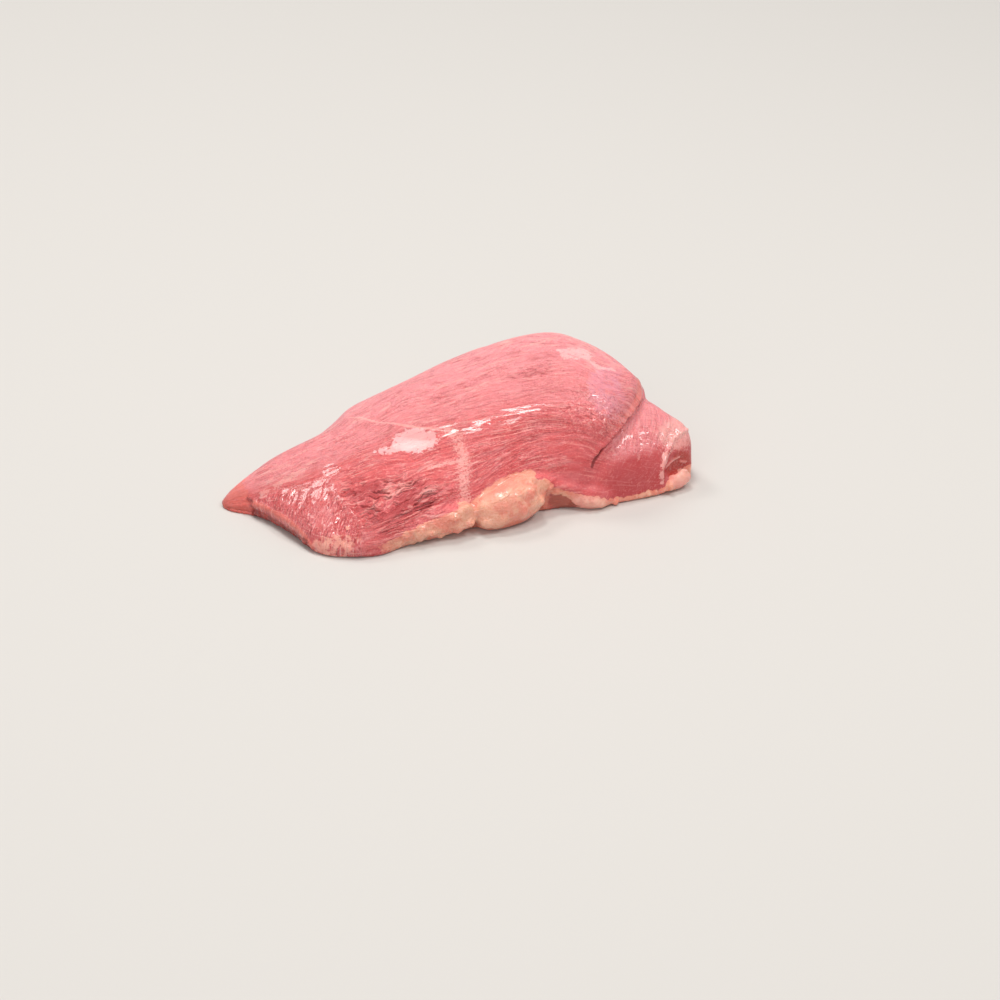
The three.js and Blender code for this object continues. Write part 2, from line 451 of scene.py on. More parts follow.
# The upper edge of the fat along the front: x, the height z there, and how thickly it covers.
FAT_EDGE = [(-58, 2.5, 0), (-52, 6.3, 0.55), (-42, 8.2, 0.55), (-36, 7.4, 0.25), (-31, 6.4, 0.2),
            (-26, 5.1, 0.6), (-21, 5.6, 1), (-16, 7.6, 1), (-10, 9.2, 1), (-4, 10.7, 1), (1, 11.8, 1),
            (4, 10, 1), (7, 11.6, 1), (11, 13.6, 1), (16, 15.4, 1), (20, 16.4, 1), (25, 16.8, 1),
            (29, 16.8, 1), (32, 14, 1), (36, 11, 1), (40, 9.5, 1), (45, 7.8, 1), (51, 5.6, 1),
            (57, 4.1, 1), (62, 2.6, 0.9), (73, 2.3, 0.9), (79, 3.2, 0.9), (84, 5.5, 1), (93, 6.5, 1)]
FRONT_X = (-95, -78, -52, -36, 3, 34, 60, 93)
FRONT_Y = (-16, -19, -44, -47, -30, -19, -11, 2)  # the fat lies in front of this line
print("the fat's edge has", len(FAT_EDGE), "points")


# %% [markdown]
# ## Distances and soft edges
# Each point of the skin gets its distance to a landmark, and a smooth ramp turns the distance
# into a mask between nought and one. Numpy does this for all points at once, which is far
# quicker than a loop over them.

# %% Measure the skin against lines and places
def read_points(mesh):
    """The places and normals of the mesh's points, in millimetres."""
    place = np.empty(len(mesh.vertices) * 3, np.float32)
    mesh.vertices.foreach_get("co", place)
    normal = np.empty_like(place)
    mesh.vertex_normals.foreach_get("vector", normal)
    return place.reshape(-1, 3).astype(float) / MM, normal.reshape(-1, 3).astype(float)


def ramp(value, low, high):
    """Nought below low, one above high, and smooth between. It falls where low is above high."""
    t = np.clip((value - low) / (high - low), 0, 1)
    return t * t * (3 - 2 * t)


def to_line(place, line):
    """For each point, its distance to a line through several points, and how far along it is."""
    line = np.array(line, float)
    nearest = np.full(len(place), np.inf)
    along = np.zeros(len(place))
    for i, (a, b) in enumerate(zip(line[:-1], line[1:])):
        t = np.clip((place - a) @ (b - a) / ((b - a) @ (b - a)), 0, 1)
        distance = np.linalg.norm(place - a - t[:, None] * (b - a), axis=1)
        closer = distance < nearest
        nearest[closer] = distance[closer]
        along[closer] = (i + t[closer]) / (len(line) - 1)
    return nearest, along


def around(place, centre, radii):
    """One at a centre, falling to nought at an egg of those radii."""
    reach = np.sqrt((((place - centre) / radii) ** 2).sum(1))
    return ramp(reach, 1.0, 0.5)


def gentle(x, stations, values, reach=5.0):
    """A smooth curve through values at stations: straight pieces, averaged over a short reach."""
    offsets = np.linspace(-reach, reach, 7)
    return sum(np.interp(x + d, stations, values) for d in offsets) / len(offsets)


place, _ = read_points(meat.data)
print("the skin spans", place.min(0).round(1), "to", place.max(0).round(1))


# %% [markdown]
# ## Where the fibres have split
# Where the meat was cut across its fibres, they have split apart. That is so on the lower
# front, and in two small places on the top. Soft eggs round those places are enough to say
# so. The first egg is the heart of it, and the others are weaker.

# %% Mark the cracked zone
def cracked_zone(place):
    """One where the cut fibres have split apart most, and nought where they are whole."""
    return np.maximum.reduce([
        around(place, (-24, -37, 15), (27, 14, 9)),
        0.8 * around(place, (-38, -34, 15), (10, 12, 7)),
        0.5 * around(place, (-4, -38, 12), (12, 8, 8)),
        0.6 * around(place, (-22, -46, 10), (24, 9, 8)),
        0.42 * around(place, (29, 15.5, 40), (13, 5, 6)),
        0.3 * around(place, (-5.7, 10, 32.4), (6, 4, 5)),
    ])


print(f"split fibres cover {100 * cracked_zone(place).mean():.1f}% of the skin")


# %% [markdown]
# ## A finer skin where it is needed
# Cracks along the fibres are under a millimetre wide, and the crease is as sharp. A finer voxel
# all over would cost many more faces. So the skin is divided once more round the cracks and the
# folds, and nowhere else, which keeps the whole light enough.

# %% Divide the skin round the cracks and the crease
FINE_ROUND_CREASE = 2.6  # mm
FINE_ROUND_FOLD = 1.8  # mm
CRACKED_ENOUGH = 0.12  # of the cracked zone's mask
FINE_ABOVE = 5  # mm


def end_fold_distance(place):
    """The distance to the nearer of the two small folds of the cut end."""
    return np.minimum(*(to_line(place, line)[0] for line in END_FOLDS))


needs_more = (cracked_zone(place) > CRACKED_ENOUGH) & (place[:, 2] > FINE_ABOVE)
needs_more |= to_line(place, CREASE)[0] < FINE_ROUND_CREASE
needs_more |= end_fold_distance(place) < FINE_ROUND_FOLD


def divide(shape):
    shape.verts.ensure_lookup_table()
    chosen = {v for v in shape.verts if needs_more[v.index]}
    edges = [e for e in shape.edges if e.verts[0] in chosen and e.verts[1] in chosen]
    bmesh.ops.subdivide_edges(shape, edges=edges, cuts=1, use_grid_fill=True)


reshape(meat.data, divide)
place, normal = read_points(meat.data)
x, y, z = place.T
print("divided skin:", len(place), "points,", len(meat.data.polygons), "faces")

# %% [markdown]
# ## The run of the grain
# Muscle fibres run from the tail to the thick end and follow the form. Noise stretched along
# one straight axis would cut across the curves of the piece. A few grain lines say how the
# fibres bend: five of them run the whole length, from the foot of the front to the back.

# %% Name the grain lines
GRAIN_X = (-92, -75, -60, -45, -30, -15, 0, 15, 30, 48, 60, 75, 92)
MIDDLE_Y = (-18, -16, -16, -14, -10, -5, 3, 8, 12, 12, 10, 8, 3)
MIDDLE_Z = (0, 2, 3, 4, 5, 6, 7, 8, 9, 9, 8, 8, 5)
GRAIN_LINES = [  # y and z of each line at those x
    # the foot of the front
    ((-21, -31, -44, -52, -54, -46, -38, -30, -23, -18, -15, -12, -2),
     (0,) * 13),
    # half way up the front
    ((-20, -29, -41, -49, -47, -39, -31, -23, -15, -13, -13, -10, 0),
     (2, 5, 7, 8, 11, 13, 15, 19, 24, 26, 20, 12, 6)),
    # the shoulder
    ((-18, -21, -22, -18, -13, -9.4, -7, -4, -2, -7, -9, 2, 2),
     (3, 9, 14, 18.5, 22, 25, 28, 30, 32, 32, 26, 25, 12)),
    # the middle of the top
    ((-16, -8, -3, 3, 11.5, 15.5, 18.5, 21, 22, 18, 10, 14, 5),
     (3, 11, 16.5, 22, 27, 31.5, 36, 40, 42.3, 44, 41, 29, 14)),
    # the back
    ((-15, 2, 10, 24, 37, 44, 49, 54, 54, 52, 44, 30, 8),
     (2, 4, 7, 9, 11, 13, 15, 17, 18, 18, 17, 12, 6)),
]
print("grain lines:", len(GRAIN_LINES), "through", len(GRAIN_X), "sections")


# %% [markdown]
# ## Along and across the grain
# Each point of a section has an angle round the middle of the meat. That angle is stretched so
# that it is the same all along each grain line, and comes out as a length across the grain.
# Noise drawn on the two lengths, along and across, comes out as fibres.

# %% Measure each point across the grain
LINE_GAP = 24.0  # mm across the grain from one line to the next
BACK_PACE = 22.0  # mm for each radian below the last line
SHOULDER = 2 * LINE_GAP  # mm across the grain, at the third line
LEAST_ANGLE = 0.05  # radians between two lines, so that nothing is divided by nought


def grain_angle(x, y, z):
    middle_y = gentle(x, GRAIN_X, MIDDLE_Y)
    middle_z = gentle(x, GRAIN_X, MIDDLE_Z)
    turn = np.arctan2(z - middle_z, middle_y - y)
    return np.where(turn < -0.5 * np.pi, turn + 2 * np.pi, turn)  # the foot of the back comes last


angle = grain_angle(x, y, z)
line_angles = [
    grain_angle(x, gentle(x, GRAIN_X, line_y), gentle(x, GRAIN_X, line_z))
    for line_y, line_z in GRAIN_LINES
]
across = np.zeros(len(place))
for low, high in zip(line_angles[:-1], line_angles[1:]):
    across += LINE_GAP * np.clip((angle - low) / np.maximum(high - low, LEAST_ANGLE), 0, 1)
across += BACK_PACE * np.maximum(angle - line_angles[-1], 0)

print("across the grain:", across.min().round(1), "to", across.max().round(1), "mm")

# %% [markdown]
# ## Fibres that come up aslant
# At the tail's front corner and on the folded end, the fibres come to the surface aslant. The
# grain lines could be bent there, but a bend squeezes the fibres. So both places get a second
# grain that runs another way. A mask says where it takes over from the first.

# %% Turn the grain aside
FOLD_Y = (-51, -45, -36, -30, -20)  # where the left corner's side runs, as y and x
FOLD_X = (-34, -37.3, -42.3, -45, -48)
CREASE_MIDDLE = (61, -7, 24)
CREASE_FACING = (0.72, -0.3, -0.55)  # points from the upper lobe into the folded end

fold_gap, _ = to_line(place, LEFT_FOLD)
fold_x = np.interp(y, FOLD_Y, FOLD_X)
left_corner = ramp(x - fold_x, 2, -4) * ramp(across, 49, 36) * ramp(x, -83, -75)
behind_crease = (place - CREASE_MIDDLE) @ CREASE_FACING
low_down = ramp(z, 22, 16)
fold_grain = ramp(behind_crease, -0.3, 0.3 + 8 * low_down)
fold_grain *= ramp(x, 50 - 8 * low_down, 56 + 6 * low_down)
aside = np.maximum(left_corner, fold_grain)

flat = np.zeros_like(x)
grain = np.stack([x, across, flat], axis=1)
aslant = np.stack([0.3 * x + 0.95 * y, 0.95 * x - 0.3 * y, flat], axis=1)
climbing = np.stack([0.85 * x + 0.5 * z, 0.5 * x - 0.85 * z + 0.4 * y, flat], axis=1)
grain_aside = np.where(x[:, None] < 0, aslant, climbing)
print(f"fibres come up aslant on {100 * aside.mean():.1f}% of the skin")

# %% [markdown]
# ## What lies where
# Lean, fat, thin skins and raw cut edges each have a mask, from nought to one. Masks could be
# painted by hand, but masks worked out from distances stay true when a form is changed. So the
# skin is first measured against every landmark. Slow waves keep the crease and the edge of the
# tip from running too straight.

# %% Measure to every landmark
CREASE_WANDER = 0.5  # mm
WANDER_WAY = np.array([0.6, -0.6, -0.4])
TIP_EDGE = -78.7  # mm, where the layer over the tip ends

wander = CREASE_WANDER * np.sin(1.1 * x + 0.7 * z)[:, None] * WANDER_WAY
crease_gap, crease_along = to_line(place + wander, CREASE)
rim_gap, _ = to_line(place, RIM)
edge_gap, edge_along = to_line(place, SEAM_EDGE)
band_gap, _ = to_line(place, SEAM_BAND)
twig_gap, _ = to_line(place, SEAM_TWIG)
lip_gap, _ = to_line(place, LIP)
ridge_gap, _ = to_line(place, END_RIDGE)
sinew_gap, _ = to_line(place, SINEW)
streak_gap, _ = to_line(place, CREAM_STREAK)
end_fold_gap = end_fold_distance(place)
tip_side = x + 0.35 * (z - 4) + 0.7 * np.sin(1.9 * z + 0.8 * y) + 0.5 * np.sin(0.9 * y + 1)
print(f"points within 1 mm of the crease: {np.count_nonzero(crease_gap < 1)}")

# %% [markdown]
# ## Where the fat lies
# The fat's mask comes from the lumps themselves and from the line of its upper edge, so that its
# colour ends where its form does. A search tree over the faces of the lumps gives the distance
# from a point of the skin to the nearest lump. Only points low on the front are asked, because
# there are no lumps elsewhere.

# %% Find the fat
NEAR_LUMPS = 3.0  # mm, past which a lump doesn't count
LUMPS_BELOW = 18  # mm

lump_faces = BVHTree.FromPolygons(
    [v.co for v in fat_lumps.data.vertices],
    [p.vertices for p in fat_lumps.data.polygons],
)
lump_gap = np.full(len(place), NEAR_LUMPS)
for i in np.flatnonzero((z < LUMPS_BELOW) & (y < 0)):
    found = lump_faces.find_nearest(Vector(place[i] * MM), NEAR_LUMPS * MM)
    if found[3] is not None:
        lump_gap[i] = found[3] / MM

edge_x, edge_z, edge_cover = np.array(FAT_EDGE).T
above_fat = z - np.interp(x, edge_x, edge_z)
in_front = ramp(y - np.interp(x, FRONT_X, FRONT_Y), 3, 0)
under_edge = ramp(above_fat, 0.9, -0.7) * in_front * np.interp(x, edge_x, edge_cover)
on_lump = ramp(lump_gap, 1.1, 0.35)
print(f"points on lumps of fat: {np.count_nonzero(on_lump > 0.5)}")

# %% [markdown]
# ## Masks of the fat
# The fat covers all that lies under its edge, apart from one hollow where a grey membrane shows
# between two rolls. The rolls' undersides get painted shade, and the fat towards both ends is pinker.
# A colour painted on the lumps alone would miss the thin fat between them.

# %% Make the masks of the fat
hollow = around(place, (41, -22, 4), (8, 7, 7))
hollow *= ramp(above_fat, 0.0, -1.5)
hollow *= ramp(lump_gap, 0.4, 1.2)
# painted shade on the undersides of the rolls of fat
under_roll = under_edge * ramp(z, 4.5, 2.5)
under_roll *= ramp(lump_gap, 0.3, 1.0)
under_roll *= ramp(x, 4, 8)
under_roll *= ramp(x, 36, 33)
masks = {
    "fat": np.maximum(under_edge * (1 - hollow), on_lump),
    "lumpy": on_lump * ramp(x, -27, -20),
    "under_roll": under_roll,
    "hollow": hollow,
    "pink_fat": np.maximum.reduce([
        around(place, (87, -6, 5), (7, 7, 7)),
        0.7 * around(place, (50, -21, 3), (10, 6, 6)),
        0.7 * ramp(x, -30, -42),
    ]),
}
print(f"fat covers {100 * masks['fat'].mean():.1f}% of the skin")

# %% [markdown]
# ## Masks of seams, skins and edges
# A pale seam shows where two muscles meet. Thin silvery skins and threads of sinew lie on the
# lean, and each rim and cut edge has its own tint. Most of these masks are a soft band along a
# landmark line. The others are soft eggs, set round a place.

# %% Make the masks of seams and skins
silver = np.maximum(
    0.8 * around(place, (58, 4, 38), (9, 17, 12)),
    0.6 * around(place, (-10, 46, 18), (28, 14, 12)),
)
sinew = np.maximum(
    0.9 * ramp(sinew_gap, 1.8, 0.1),
    0.8 * around(place, (47, 22.5, 44.4), (9, 5, 3)),
)
masks |= {
    "seam_edge": ramp(edge_gap, 1.3, 0.0) * ramp(edge_along, 0.0, 0.25),
    "seam_band": np.maximum(0.68 * ramp(band_gap, 4.4, 0.4), 0.95 * ramp(twig_gap, 1.3, 0.2)),
    "silver": silver,
    "sinew": sinew,
    "cream_spots": np.maximum(
        0.9 * ramp(streak_gap, 2.6, 0.4),
        0.8 * around(place, (-74, -23, 10), (3.5, 3, 4)),
    ),
}
print(f"the seam's band covers {100 * masks['seam_band'].mean():.1f}% of the skin")

# %% [markdown]
# ## Masks of rims and cut ends
# The tail ends in a thin lip with a ragged underside, and a layer of lean stops a little short
# of its tip. The folded end is cut, and scooped out under a pale ridge. These are small places,
# so each has a mask of its own, which the relief and the colours share.

# %% Make the masks of rims and ends
# where painted shade goes along the crease
crease_shade_mask = ramp(crease_gap, 2.0, 0.3) * ramp(crease_along, 0.0, 0.12)
crease_shade_mask *= 0.8 + 0.2 * ramp(crease_along, 0.55, 0.8)
under_lip = ramp(lip_gap, 7.5, 5) * ramp(z, 4.6, 3.2)
under_lip *= ramp(x, -54, -57)
under_lip *= ramp(x, -80, -77)
masks |= {
    "crease": crease_shade_mask,
    "rim": ramp(rim_gap, 3.0, 0.8) * ramp(behind_crease, 0.4, -0.2) * ramp(z, 24, 34),
    "lip": ramp(lip_gap, 2.2, 0.4),
    "under_lip": under_lip,
    "tip": ramp(tip_side, -76, -82) * ramp(z, 11, 6),
    # where painted shade goes at the foot of the step over the tip
    "tip_step": ramp(np.abs(tip_side - TIP_EDGE), 1.2, 0.2) * ramp(z, 8, 5.5) * ramp(y, -16, -20),
    "cut_end": around(place, (88, -4, 7.5), (9, 9, 9)),
    "end_ridge": 0.62 * ramp(ridge_gap, 2.2, 0.4) * ramp(z, 4, 6),
    "end_top": around(place, (85.5, 3.5, 19), (11, 11, 7)),
    "end_fold": ramp(end_fold_gap, 0.9, 0.2),
}
print(f"the raw cut end covers {100 * masks['cut_end'].mean():.1f}% of the skin")


# %% [markdown]
# ## Masks of the lean
# The lean isn't the same all over. Its front slope shows the fibres best and is cracked, its top
# lies under a thin film and takes a painted sheen, and a shoulder runs between the two. Noise
# alone would make all of it alike, so each zone has its mask.

# %% Make the masks of the lean
def shoulder_band(reach):
    """A band along the shoulder, that far to either side, which stops short of both ends."""
    return ramp(np.abs(across - SHOULDER), reach, 2) * ramp(x, -30, -20) * ramp(x, 56, 46)


masks |= {
    "front": ramp(across, SHOULDER + 2, SHOULDER - 8) * (1 - fold_grain),
    "shoulder": shoulder_band(9),
    # the top and the back only say where the colours paint sheen
    "top": ramp(across, SHOULDER - 3, SHOULDER + 12),
    "back": ramp(across, 62, 88),
    "left_corner": left_corner,
    "fold": fold_grain,
    "aside": aside,
    "cracks": cracked_zone(place) * ramp(above_fat, 0.5, 3) * (1 - 0.9 * left_corner),
    "rests": ramp(z, 0.25, 1.2),
}
print(f"the front slope covers {100 * masks['front'].mean():.1f}% of the skin")

# %% [markdown]
# ## Masks of the juice
# Juice makes some places shine and leaves others dull. It lies along the shoulder, on the left
# corner, on the folded end and on the fat. One torn patch on the shoulder is smooth and tilted to
# the light, and its pale colour is a painted highlight. Pebbled places break a shine up into small
# glints, which an even film would not do.

# %% Make the masks of wet, pebbled and smooth places
masks |= {
    "wet": np.maximum.reduce([
        left_corner,
        shoulder_band(7),
        0.95 * around(place, (54, -4, 32), (18, 12, 14)),
        ramp(fold_grain * around(place, (66, -7, 21), (18, 13, 8)), 0.0, 0.5),
        around(place, (86, -1, 14), (12, 13, 12)),
        0.8 * ramp(rim_gap, 4, 1),
        around(place, (-48, -20, 18), (5, 5, 5)),
        0.7 * under_edge,
        0.7 * ramp(lip_gap, 6, 2),
        0.2 * ramp(across, 16, 40),
    ]),
    # the wet pool: smooth and tilted, and painted pale as a painted highlight
    "pool": np.maximum(
        around(place, (-16, -10.5, 25), (12, 7.5, 6)),
        0.8 * around(place, (-27, -13.5, 24), (9, 3, 4)),
    ),
    "pebbled": np.maximum.reduce([
        0.75 * around(place, (53, -5, 32), (18, 12, 15)),
        0.3 * around(place, (64, -9, 21), (18, 12, 8)) * ramp(z, 15, 18),
        0.5 * around(place, (84, 2, 17), (14, 14, 7)),
        0.2 * left_corner,
    ]),
    "smooth": np.maximum.reduce([
        around(place, (50, -18, 11), (18, 8, 12)),
        0.7 * around(place, (47, -12, 24), (15, 11, 12)),
        fold_grain * ramp(z, 19, 15),
        0.5 * ramp(x, -76, -80),
        0.8 * around(place, (-50, -42, 9), (6, 7, 5)),
    ]),
}
for name, values in masks.items():
    print(f"mask {name}: covers {100 * values.mean():.1f}% of the skin")

# %% [markdown]
# ## Folds and edges
# Sculpting would give these forms too, but no script can repeat it. So each fold and edge is a
# height along the skin's normals: the crease is sunk, the side of the seam and the side of the
# left corner are low steps, the tip lies lower than the layer above it, and the lip of the tail
# and the cut at the folded end stand up a little.

# %% Add up the folds and edges
CREASE_DEPTH = 1.9  # these are all in millimetres
RIM_HEIGHT = 0.35
SEAM_STEP = 0.5
CORNER_NICK = 0.3
CORNER_STEP = 0.6
LIP_HEIGHT = 0.7
LAYER_STEP = 1.3
RIDGE_HEIGHT = 0.8
END_FOLD_HEIGHT = 0.7
HOLLOW_DEPTH = 0.5
POOL_TILT = 0.15  # height for each millimetre across, which turns the wet patch to the light
POOL_AXIS = -9.5  # the y that it turns about

upper_side = ramp(behind_crease, 0.2, -1.4)
crease_fade = ramp(crease_along, 1.0, 0.8) * ramp(crease_along, 0.0, 0.12)
rise = -CREASE_DEPTH * ramp(crease_gap, 1.3, 0.0) * crease_fade
rise += RIM_HEIGHT * ramp(rim_gap, 1.6, 0.0) * upper_side

seam_y = np.interp(x, [p[0] for p in SEAM_EDGE], [p[1] for p in SEAM_EDGE])
seam_step = SEAM_STEP * ramp(edge_gap, 6, 0) * ramp(y - seam_y, 0.6, -0.6)
rise += seam_step * ramp(edge_along, 0.02, 0.2)
rise -= CORNER_NICK * ramp(fold_gap, 1.8, 0.0)
corner_step = CORNER_STEP * ramp(fold_gap, 7, 0) * ramp(x - fold_x, 0.5, -0.5)
rise += corner_step * ramp(across, 49, 44)
rise += POOL_TILT * (y - POOL_AXIS) * around(place, (-18, -9.5, 25), (20, 14, 11))

rise += LIP_HEIGHT * ramp(lip_gap, 2.0, 0.0)
layer_step = LAYER_STEP * ramp(tip_side, -77.5, -79.5) * ramp(z, 9, 6)
rise -= layer_step * ramp(y, -16, -20)
rise += RIDGE_HEIGHT * ramp(ridge_gap, 1.4, 0.0)
rise += END_FOLD_HEIGHT * ramp(end_fold_gap, 1.0, 0.0)
rise -= HOLLOW_DEPTH * hollow
print("the skin moves by", rise.min().round(2), "to", rise.max().round(2), "mm")


# %% [markdown]
# ## The overhanging rim
# Heights along the normals alone can't tuck one lobe under another. So the rim of the upper lobe
# is also drawn out over the folded end, down and to the front. Then the sole is pressed flat, and
# the masks are kept on the mesh as named attributes, for the relief and the colours to read.

# %% Move the skin and keep its masks
RIM_PULL = np.array([0.8, -0.9, -0.35])  # mm
SOLE_BELOW = 0.25  # mm

overhang = ramp(np.abs(crease_gap - 1.5), 1.8, 0.2) * upper_side * crease_fade
moved = place + normal * rise[:, None] + RIM_PULL * overhang[:, None]
moved[:, 2] = np.where(z < SOLE_BELOW, 0.0, np.maximum(moved[:, 2], 0.0))
meat.data.vertices.foreach_set("co", (moved * MM).astype(np.float32).ravel())
meat.data.update()


def keep_attribute(mesh, name, values):
    kind, field = ("FLOAT", "value") if values.ndim == 1 else ("FLOAT_VECTOR", "vector")
    attribute = mesh.attributes.new(name, kind, "POINT")
    attribute.data.foreach_set(field, values.astype(np.float32).ravel())


keep_attribute(meat.data, "grain", grain)
keep_attribute(meat.data, "grain_aside", grain_aside)
for name, values in masks.items():
    keep_attribute(meat.data, name, values)
print("kept", len(masks), "masks and two grains on the mesh")

# %% [markdown]
# ## Relief
# Raw muscle isn't smooth. Its fibres stand up in ridges, broad flat sheets of them lap over each
# other, and a cut surface splits along them in dark cracks. A bump in the material would look
# flat from the side, so the larger forms are real heights. They follow a rule, so they are made
# with Geometry Nodes, and each height is a named input of the tree.

# %% Name the heights
RELIEF = {  # millimetres
    "Fibre Height": 0.2,
    "Fibre Width": 1.2,
    "Bundle Height": 0.34,
    "Crumble Height": 0.6,
    "Pebble Height": 0.85,
    "Crack Depth": 0.7,
    "Crack Spacing": 1.9,
    "Fat Height": 0.3,
    "Swell Height": 0.3,
    "Ragged Height": 1.0,
    "Sheet Height": 0.32,
}
PATTERN_SHIFT = (3.7, 11.3, 5.1)  # picks one pattern of the noise, the same every time
SHORTEN = 0.15  # along the grain, so that noise is drawn out into fibres
WAVER = (0.06, 2.5)  # how often the grain wavers, for each millimetre, and how far, in mm
print("the relief has", len(RELIEF), "sizes")


# %% [markdown]
# ## Lapping sheets
# Bundles of fibres lie in broad sheets, each lapping over the next, and the colours paint a
# highlight on each sheet's edge and shade at its foot. Noise along the grain is cut into terraces
# for that: the whole part of its height is the number of the sheet, and the rest is the place
# within it. The relief and the colours both call this helper, so that the painted highlight and
# shade sit on the step.

# %% Lay the sheets
SHEET_STEPS = 4.0  # from the lowest sheet to the highest
SHEET_DRAW = (0.1, 1, 1)
SHEET_SHIFT = (31, 7, 0)
SHEET_SCALE = 0.17  # for each millimetre


def sheets(g, grain):
    """Broad flat bundles that lap over each other: the sheet's number, and the place within it."""
    straight = g.stretch(grain, (1, 1, 1), PATTERN_SHIFT)
    drawn = g.stretch(g.wavy(straight, *WAVER), SHEET_DRAW, SHEET_SHIFT)
    level = g.product(g.noise(drawn, SHEET_SCALE, 2.0, 0.5), SHEET_STEPS)
    return g.math("FLOOR", level), g.math("FRACT", level)


def sheet_relief(g, given, grain):
    """The height of each sheet, with a slope up to the next."""
    step, within = sheets(g, grain)
    rank = g.total(step, g.ramp(within, 0.68, 1.0), -0.5 * SHEET_STEPS)
    return g.product(rank, given["Sheet Height"])


print("sheets in", int(SHEET_STEPS), "steps")


# %% [markdown]
# ## Fibres and cracks
# Fine fibres lie in bundles three times as wide. Cracks run where a slow noise crosses its middle
# value, because that gives long thin lines and not spots. A second noise breaks them up, and
# crumbs of torn fibre stand between them.

# %% Make the fibres and the cracks
CRACK_DRAW = (0.09, 1, 1)
CRACK_SHIFT = (17.0, 4.0, 0.0)
CRUMB_STRETCH = (1.4, 1, 1)


def fibre_relief(g, given, place):
    width = g.math("DIVIDE", 1.0, given["Fibre Width"])
    fibres = g.swing(g.noise(place, width, 2.0, 0.6), given["Fibre Height"])
    bundles = g.swing(g.noise(place, g.product(width, 0.33), 2.0), given["Bundle Height"])
    return g.total(fibres, bundles)


def crack_relief(g, given, along_grain, in_mm, cracks, lean):
    """The crumbs and the cracks as patterns, and then the height that each of them adds."""
    cracked = g.stretch(g.wavy(along_grain, 0.35, 1.2), CRACK_DRAW, CRACK_SHIFT)
    crumbs = g.noise(g.stretch(cracked, CRUMB_STRETCH), 0.85, 3.0, 0.6)
    crumble_height = g.product(g.swing(crumbs, given["Crumble Height"]), cracks, lean)
    crack_scale = g.math("DIVIDE", 1.0, given["Crack Spacing"])
    valley = g.math("ABSOLUTE", g.swing(g.noise(cracked, crack_scale, 2.0, 0.55)))
    broken = g.ramp(g.noise(in_mm, 0.17, 3.0, 0.6), 0.36, 0.46)
    crack = g.product(g.ramp(valley, 0.07, 0.0), broken, cracks, lean)
    crack_height = g.product(crack, given["Crack Depth"], -1.0)
    return crumbs, crack, crumble_height, crack_height


print("fibres, bundles, crumbs and cracks ready")


# %% [markdown]
# ## The relief tree
# The tree reads the masks, adds up the heights and moves each point along its normal. Fat gets
# soft lumps in place of fibres, and the smooth places get less of everything. It also keeps the
# cracks and the crumbs as attributes, so that the colours can paint shade into the cracks, and
# highlight and shade on the crumbs.

